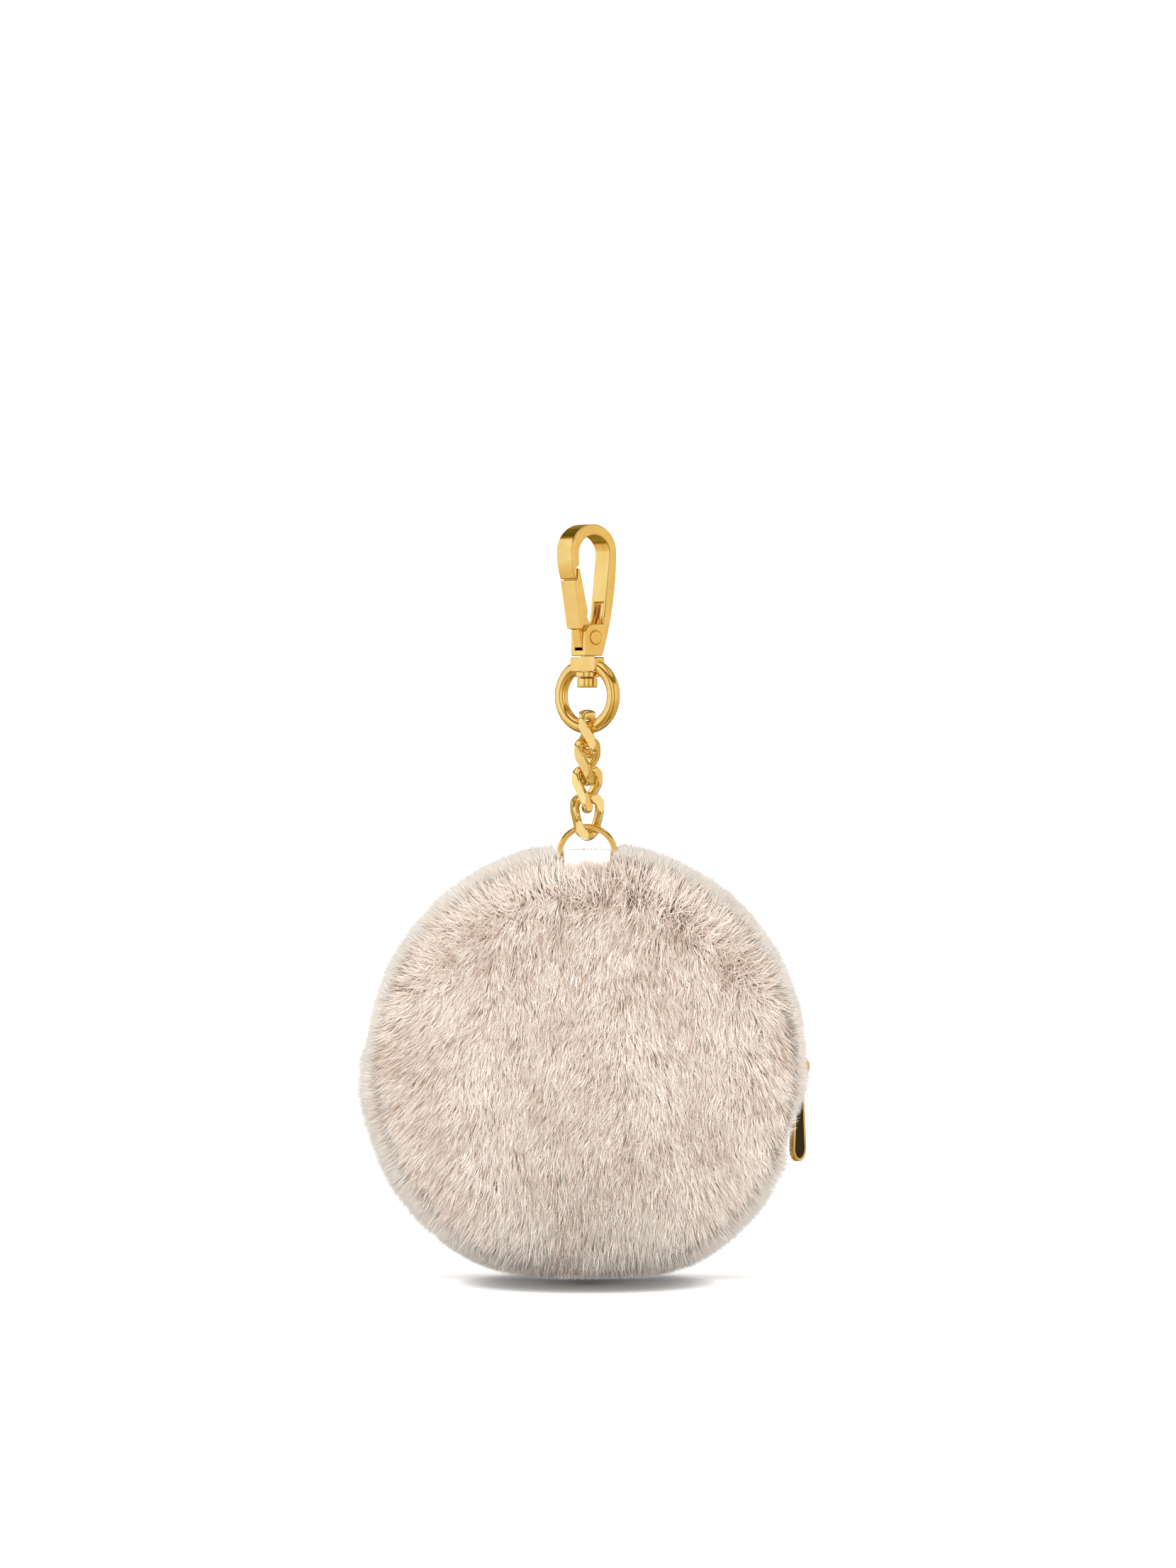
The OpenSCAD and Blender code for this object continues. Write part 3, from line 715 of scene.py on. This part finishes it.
def build_fur():
    for i in range(SECTORS):
        low, high = 360 / SECTORS * i, 360 / SECTORS * (i + 1)
        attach(panel_fur(f"fur_pile_front_{i + 1}", FRONT_STRANDS, 1, low, high), "pouch")
        across_fold(panel_fur(f"fur_pile_back_{i + 1}", BACK_STRANDS, -1, low, high))
    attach(rim_fur("fur_pile_rim_front", 19900, 1), "pouch")
    across_fold(rim_fur("fur_pile_rim_back", 18000, -1))
    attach(gusset_fur("fur_pile_gusset_left", 19900, ZIP_LEFT + 0.5, 268), "pouch")
    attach(gusset_fur("fur_pile_gusset_right", 19900, 262, 360 + ZIP_RIGHT - 0.5), "pouch")


# ---- cloth of the pouch ----

def shell_profile(side, outer, inner, radius, rings=26):
    """Closed section between two heights, each a function of the radius, out to a radius."""
    r = radius * np.sin(np.linspace(0, math.pi / 2, rings))
    up = np.stack([r, side * outer(r)], -1)
    back = np.stack([r[::-1], side * inner(r[::-1])], -1)
    return np.concatenate([up, back])


def wrinkled(o, depth, size, seed):
    """Moves the cloth's points along the pouch's axis, so that it lies in soft folds."""
    co = np.empty(len(o.data.vertices) * 3, np.float32)
    o.data.vertices.foreach_get("co", co)
    co = co.reshape(-1, 3).astype(float)
    co[:, 1] += MM * depth * ripple(co / MM * [1, 0, 1], size, seed)
    o.data.vertices.foreach_set("co", co.astype(np.float32).ravel())
    o.data.update()


def build_panels():
    """Pelt, wadding and lining of both round panels. The back ones are baked in place and not attached to a
    body.
    """
    for side, name in ((1, "front"), (-1, "back")):
        pelt = revolve(
            f"pelt_{name}", shell_profile(side, dome, lambda r: dome(r) - PELT_T, seam_r), PELT,
            lumps=0.25,
        )
        pad = revolve(
            f"wadding_{name}",
            shell_profile(
                side, lambda r: dome(r) - PELT_T - 0.15, lambda r: 0 * r + lining_h + 0.75, seam_r - 2.2
            ),
            WADDING, lumps=0.12, lump_size=7,
        )
        lining = revolve(
            f"satin_lining_{name}",
            shell_profile(side, lambda r: 0 * r + lining_h + 0.35, lambda r: 0 * r + lining_h, seam_r - 1.2),
            SATIN,
        )
        wrinkled(lining, 0.16, 13, 31)
        if side > 0:
            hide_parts("fur_front")
            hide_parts("padding_front")
            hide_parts("lining_front")
            for o in (pelt, pad, lining):
                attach(o, "pouch")
        else:
            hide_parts("fur_back_lower", "fur_back_upper")
            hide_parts("padding_back_lower", "padding_back_upper")
            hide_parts("lining_back_lower", "lining_back_upper")
            for o in (pelt, pad, lining):
                across_fold(o)


def strip(low_r, high_r, low_h, high_h, bulge=0.0, steps=14):
    """Closed section of a band round the pouch, bulging outwards in its middle."""
    h = np.linspace(low_h, high_h, steps)
    swell = bulge * (1 - ((h - h.mean()) / (h[-1] - h.mean())) ** 2)
    return np.concatenate([
        np.stack([high_r + swell, h], -1), np.stack([low_r + swell, h], -1)[::-1]
    ])


def build_bands():
    """Pelt strips along the zip, the gusset with its lining, and the woven zip tapes."""
    for side, name in ((1, "front"), (-1, "back")):
        rim = revolve(
            f"pelt_rim_{name}", strip(seam_r + 0.05, seam_r + PELT_T, side * RIM_IN, side * seam_h, 0.15),
            PELT, ZIP_RIGHT, ZIP_LEFT, 120,
        )
        tape = revolve(
            f"woven_zip_tape_{name}", strip(tape_r, seam_r, side * TAPE_EDGE, side * seam_h, 0.0, 8),
            TAPE, ZIP_RIGHT, ZIP_LEFT, 160,
        )
        if side > 0:
            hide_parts("fur_rim_front")
            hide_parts("zip_tape_front")
            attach(rim, "pouch")
            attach(tape, "pouch")
        else:
            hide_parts("fur_rim_back")
            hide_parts("zip_tape_back", "zip_tape_ends")
            across_fold(rim)
            across_fold(tape)
    gusset = revolve(
        "pelt_gusset", strip(seam_r - PELT_T, seam_r, -seam_h, seam_h, 0.35), PELT,
        ZIP_LEFT + 0.5, 360 + ZIP_RIGHT - 0.5, 120, lumps=0.15,
    )
    lining = revolve(
        "satin_lining_gusset", strip(seam_r - 2.1, seam_r - 1.75, -lining_h + 0.1, lining_h - 0.1), SATIN,
        ZIP_LEFT + 0.5, 360 + ZIP_RIGHT - 0.5, 120, lumps=0.12, lump_size=9,
    )
    for o, node, slot in ((gusset, "fur_gusset", "plush_fur"), (lining, "lining_gusset", "satin_lining")):
        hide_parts(node)
        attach(o, "pouch")


# ---- metal ----

def build_hook():
    rows = (
        ("snap_hook_casting", "hook_frame", GOLD, 0.28, "hook", "gold_cast"),
        ("snap_hook_gate", "gate_lever", GATE_GOLD, 0.16, "gate", "gold_cast"),
        ("gate_rivet", "gate_pin", GOLD, 0.12, "hook", "gold_cast"),
        ("swivel_rivet_turned", "swivel_rivet", GOLD, 0.3, "hook", "gold_cast"),
        ("swivel_washer_turned", "swivel_washer", GATE_GOLD, 0.2, "hook", "gold_cast"),
        ("swivel_ring_cast", "swivel_ring", WIRE_GOLD, 0.06, "swivel", "gold_wire"),
    )
    for name, node, material, bevel, body, slot in rows:
        o = finished(name, node, material, bevel, merge=0.02)
        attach(o, body)
    spring = finished("gate_spring_wire", "gate_spring", COPPER, 0, smooth_levels=2)
    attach(spring, "hook")


LINK_YAWS = (90, 68, 55, 22)  # every link turns a little further than the one above it
LINK_SIDE, LINK_WIRE, LINK_TWIST = 2.7, 1.1, 1.35
LINK_FLAT, LINK_EDGE = 1.8, 3.25  # how far from its middle a link is cut flat, front and side


def curb_link(index, yaw):
    """A twisted oval of round wire, cut flat on all four sides of the link by a diamond tool."""
    node = f"chain_link_{index}"
    low, high = box_mm(node)
    half = (high[2] - low[2]) / 2 - LINK_WIRE
    t = np.linspace(0, 2 * math.pi, 128, endpoint=False)
    straight = (half - LINK_SIDE) * np.sign(np.sin(t)) * np.minimum(1, np.abs(np.sin(t)) * 2)
    x, z = LINK_SIDE * np.cos(t), straight + LINK_SIDE * np.sin(t)
    u, v = x / LINK_SIDE, z / half
    path = np.stack([x, -2 * LINK_TWIST * u * v / (u * u + v * v), z], -1)
    along = unit(np.roll(path, -1, 0) - np.roll(path, 1, 0))
    across = unit(np.cross(along, [0.0, 1.0, 0.0]))
    out = np.cross(across, along)
    turn = np.linspace(0, 2 * math.pi, 32, endpoint=False)[None, :, None]
    points = path[:, None] + LINK_WIRE * (np.cos(turn) * across[:, None] + np.sin(turn) * out[:, None])
    points[..., 0] = np.clip(points[..., 0], -LINK_EDGE, LINK_EDGE)
    points[..., 1] = np.clip(points[..., 1], -LINK_FLAT, LINK_FLAT)
    a = math.radians(yaw)
    spin = np.array([[math.cos(a), -math.sin(a), 0], [math.sin(a), math.cos(a), 0], [0, 0, 1]])
    points = points @ spin.T + [0, 0, (low[2] + high[2]) / 2]
    o = link_object(f"curb_link_{index}", tidy(grid_mesh(node, points, True, True), 24), LINK_GOLD_PAINTED_LIGHTER)
    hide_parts(node)
    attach(o, f"link_{index}")


def build_chain():
    for index, yaw in enumerate(LINK_YAWS, 1):
        curb_link(index, yaw)


def arc(centre_at, radius, start, end, steps):
    """Points of an arc in the plane y = 0, angles above +X."""
    a = np.radians(np.linspace(start, end, steps))
    return np.stack([centre_at[0] + radius * np.cos(a), 0 * a, centre_at[1] + radius * np.sin(a)], -1)


def build_d_ring():
    """A bent wire whose ends meet at its right leg."""
    low, high = box_mm("d_ring")
    wire = (high[1] - low[1]) / 2
    half = (high[0] - low[0]) / 2 - wire
    arc_z = high[2] - wire - half
    corner = 0.8
    joint_z = bar_z + 0.95
    bar_x = np.linspace(-half + corner + 0.2, half - corner - 0.2, 20)
    path = np.concatenate([
        [[half, 0, joint_z + 0.05], [half, 0, (joint_z + arc_z) / 2 + 0.2]],
        arc((0, arc_z), half, 0, 180, 60),
        arc((-half + corner, bar_z + corner), corner, 180, 270, 12),
        np.stack([bar_x, 0 * bar_x, 0 * bar_x + bar_z], -1),
        arc((half - corner, bar_z + corner), corner, -90, 0, 12),
        [[half, 0, joint_z - 0.05]],
    ])
    o = tube("d_ring_bent_wire", path, wire, WIRE_GOLD)
    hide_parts("d_ring")
    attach(o, "dee")


def build_zip():
    rows = (
        ("slider_body_cast", "slider_body", ZIP_GOLD, 0.3, "slider", "zip_metal"),
        ("slider_bail_cast", "slider_bail", ZIP_GOLD, 0.2, "slider", "zip_metal"),
        ("drop_puller_rim", "zip_puller", ZIP_GOLD, 0.14, "puller", "zip_metal"),
        ("zip_end_stops", "zip_stops", ZIP_GOLD, 0.18, "pouch", "zip_metal"),
        ("zip_teeth_row_front", "zip_teeth_front", ZIP_GOLD, 0.16, "pouch", "zip_metal"),
        ("zip_teeth_row_back", "zip_teeth_back", ZIP_GOLD, 0.16, "flap", "zip_metal"),
        ("zip_teeth_row_ends", "zip_teeth_ends", ZIP_GOLD, 0.16, "pouch", "zip_metal"),
        ("puller_dark_face", "puller_inlay", ENAMEL, 0.06, "puller", "dark_enamel"),
    )
    for name, node, material, bevel, body, slot in rows:
        o = finished(name, node, material, bevel)
        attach(o, body)


# ---- leather tab ----

def build_tab():
    """A strap folded round the D-ring's bar, its two layers pressed together and sewn below it."""
    low, high = box_mm("leather_tab")
    width, tail = high[0] - low[0], low[2]
    fold_r, layer = 1.47, 0.96
    neck = 0.56
    down = np.linspace(0, 1, 10)[:, None]
    front = np.array([-neck, tail]) * (1 - down) + np.array([-neck, bar_z - 2.7]) * down
    a = np.radians(np.linspace(205, -25, 40))
    loop = np.stack([fold_r * np.cos(a), bar_z + fold_r * np.sin(a)], -1)
    back = front[::-1] * [-1, 1]
    path = np.concatenate([front, loop, back])
    keep = np.concatenate([[True], np.linalg.norm(np.diff(path, axis=0), axis=1) > 0.02])
    path = path[keep]
    for _ in range(3):
        path[1:-1] = (path[:-2] + 2 * path[1:-1] + path[2:]) / 4
    along = unit(np.gradient(path, axis=0))
    normal = np.stack([-along[:, 1], along[:, 0]], -1)
    x = np.concatenate([[-1, -0.985, -0.96], np.linspace(-0.9, 0.9, 19), [0.96, 0.985, 1]]) * width / 2
    thin = layer / 2 * np.array([0.55, 0.85, 0.97] + [1.0] * 19 + [0.97, 0.85, 0.55])
    section_x = np.concatenate([x, x[::-1]])
    section_t = np.concatenate([thin, -thin[::-1]])
    points = np.zeros((len(path), len(section_x), 3))
    points[..., 0] = section_x[None]
    flat = path[:, None] + normal[:, None] * section_t[None, :, None]
    points[..., 1], points[..., 2] = flat[..., 0], flat[..., 1]
    points[..., 1] += 0.05 * ripple(points, 6, 41)
    o = link_object("folded_leather_tab", tidy(grid_mesh("tab", points, False, True, caps=True), 60), LEATHER)
    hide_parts("leather_tab")
    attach(o, "pouch")


def build_stitches():
    """Saddle stitches in a row through both layers of the tab."""
    low, high = box_mm("tab_stitches")
    y = max(-low[1], high[1])
    z = (low[2] + high[2]) / 2
    meshes = []
    for side in (-1, 1):
        for i in range(5):
            x = (i - 2) * 1.9
            t = np.linspace(0, math.pi, 14)
            bow = side * (y - 0.28 + 0.3 * np.sin(t))
            path = np.stack([x + 0.75 * np.cos(t), bow, z + 0.12 * np.cos(t)], -1)
            meshes.append(tube(f"stitch_{side}_{i}", path, 0.17, None, sides=10))
    whole = bmesh.new()
    for o in meshes:
        whole.from_mesh(o.data)
        bpy.data.objects.remove(o)
    mesh = bpy.data.meshes.new("stitches")
    whole.to_mesh(mesh)
    whole.free()
    mesh.polygons.foreach_set("use_smooth", np.ones(len(mesh.polygons), bool))
    o = link_object("saddle_stitches", mesh, THREAD)
    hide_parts("tab_stitches")
    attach(o, "pouch")


# ---- studio ----

def build_floor():
    """A pale sweep: the floor in front, rising to a wall far behind."""
    z = floor_z * MM
    bend, wall, near, wide = 0.5, 1.6, -1.6, 3.0
    a = np.radians(np.linspace(-90, 0, 24))
    line = np.concatenate([
        [[near, 0.0]],
        np.stack([wall - bend + bend * np.cos(a), bend + bend * np.sin(a)], -1),
        [[wall, 2.4]],
    ])
    x = np.linspace(-wide, wide, 9)
    points = np.zeros((len(line), len(x), 3))
    points[..., 0] = x[None]
    points[..., 1] = line[:, 0:1]
    points[..., 2] = line[:, 1:2] + z
    mesh = grid_mesh("sweep", points / MM, False, False)
    o = link_object("studio_sweep", mesh, floor_material())
    o.visible_glossy = False


def soft_light(name, at, aim, size, watts):
    data = bpy.data.lights.new(name, "AREA")
    data.shape = "RECTANGLE"
    data.size, data.size_y = size
    data.energy = watts
    o = bpy.data.objects.new(name, data)
    o.location = at
    o.rotation_euler = (Vector(aim) - Vector(at)).to_track_quat("-Z", "Y").to_euler()
    o.visible_glossy = False
    bpy.context.scene.collection.objects.link(o)


def fill_ramp(ramp, stops):
    """Sets a ramp's stops, each a position and a colour."""
    for _ in range(len(stops) - 2):
        ramp.color_ramp.elements.new(0.5)
    for element, (at, colour) in zip(ramp.color_ramp.elements, stops):
        element.position = at
        element.color = colour


def build_world():
    """White all round for the cloth. The metal sees the same tent with the gaps between its panels."""
    world = bpy.data.worlds.new("studio")
    world.use_nodes = True
    nodes, links = world.node_tree.nodes, world.node_tree.links
    white = nodes["Background"]
    white.inputs["Color"].default_value = (1, 1, 1, 1)
    white.inputs["Strength"].default_value = 1.08
    split = nodes.new("ShaderNodeSeparateXYZ")
    links.new(nodes.new("ShaderNodeTexCoord").outputs["Generated"], split.inputs["Vector"])
    panels = {
        "X": [
            (0.0, 0.9), (0.14, 0.95), (0.2, 0.3), (0.27, 0.72), (0.42, 0.95),
            (0.46, 1.0), (0.5, 0.86), (0.66, 0.42), (0.8, 0.95), (1.0, 0.75),
        ],
        "Y": [(0.0, 0.95), (0.45, 1.0), (0.75, 0.95), (0.95, 0.3)],
        "Z": [(0.0, 0.45), (0.36, 0.8), (0.46, 1.0), (0.73, 1.0), (0.77, 0.28), (0.85, 0.32), (0.89, 1.0)],
    }
    product = None
    for axis, stops in panels.items():
        spread = nodes.new("ShaderNodeMapRange")
        spread.inputs["From Min"].default_value = -1
        ramp = nodes.new("ShaderNodeValToRGB")
        fill_ramp(ramp, [(at, (value, value, value, 1)) for at, value in stops])
        links.new(split.outputs[axis], spread.inputs["Value"])
        links.new(spread.outputs["Result"], ramp.inputs["Fac"])
        if product is None:
            product = ramp.outputs["Color"]
            continue
        times = nodes.new("ShaderNodeMath")
        times.operation = "MULTIPLY"
        links.new(product, times.inputs[0])
        links.new(ramp.outputs["Color"], times.inputs[1])
        product = times.outputs["Value"]
    warm = nodes.new("ShaderNodeValToRGB")
    fill_ramp(warm, [
        (0.0, (0.04, 0.024, 0.004, 1)), (0.3, (0.24, 0.165, 0.028, 1)), (0.5, (0.45, 0.31, 0.09, 1)),
        (0.75, (0.66, 0.5, 0.24, 1)), (0.88, (0.75, 0.68, 0.46, 1)), (0.95, (0.84, 0.82, 0.7, 1)),
        (1.0, (1, 1, 0.85, 1)),
    ])
    links.new(product, warm.inputs["Fac"])
    tent = nodes.new("ShaderNodeBackground")
    tent.inputs["Strength"].default_value = 1.3
    links.new(warm.outputs["Color"], tent.inputs["Color"])
    mix = nodes.new("ShaderNodeMixShader")
    links.new(nodes.new("ShaderNodeLightPath").outputs["Is Glossy Ray"], mix.inputs["Fac"])
    links.new(white.outputs["Background"], mix.inputs[1])
    links.new(tent.outputs["Background"], mix.inputs[2])
    links.new(mix.outputs["Shader"], nodes["World Output"].inputs["Surface"])
    bpy.context.scene.world = world


# The camera, in metres: height of the view at its target, target, distance and sensor
VIEW_H = 0.3362
VIEW_AT = Vector((0.00015, 0.0, -0.0493))
DISTANCE = 1.7
SENSOR = 36.0


def build_camera():
    data = bpy.data.cameras.new("camera")
    data.sensor_width = SENSOR
    data.lens = SENSOR * DISTANCE / VIEW_H
    data.clip_start, data.clip_end = 0.05, 20
    o = bpy.data.objects.new("camera", data)
    o.location = VIEW_AT - Vector((0, DISTANCE, 0))
    o.rotation_euler = (math.radians(90), 0, 0)
    bpy.context.scene.collection.objects.link(o)
    bpy.context.scene.camera = o


def build_studio():
    build_floor()
    build_world()
    aim = (0, 0, -0.07)
    soft_light("key", (-0.75, -1.0, 0.8), aim, (0.6, 0.6), 6.6)
    soft_light("fill", (0.8, -1.1, 0.2), aim, (0.5, 0.9), 3.8)
    soft_light("low_front", (0.0, -1.1, -0.08), (0, 0, -0.13), (0.9, 0.14), 8.6)
    soft_light("top", (0.0, -0.1, 1.1), aim, (0.9, 0.5), 2)
    bpy.context.scene.view_settings.view_transform = "Standard"
    build_camera()


# ---- the scene ----

build_panels()
build_bands()
build_fur()
build_hook()
build_chain()
build_d_ring()
build_tab()
build_stitches()
build_zip()
build_studio()
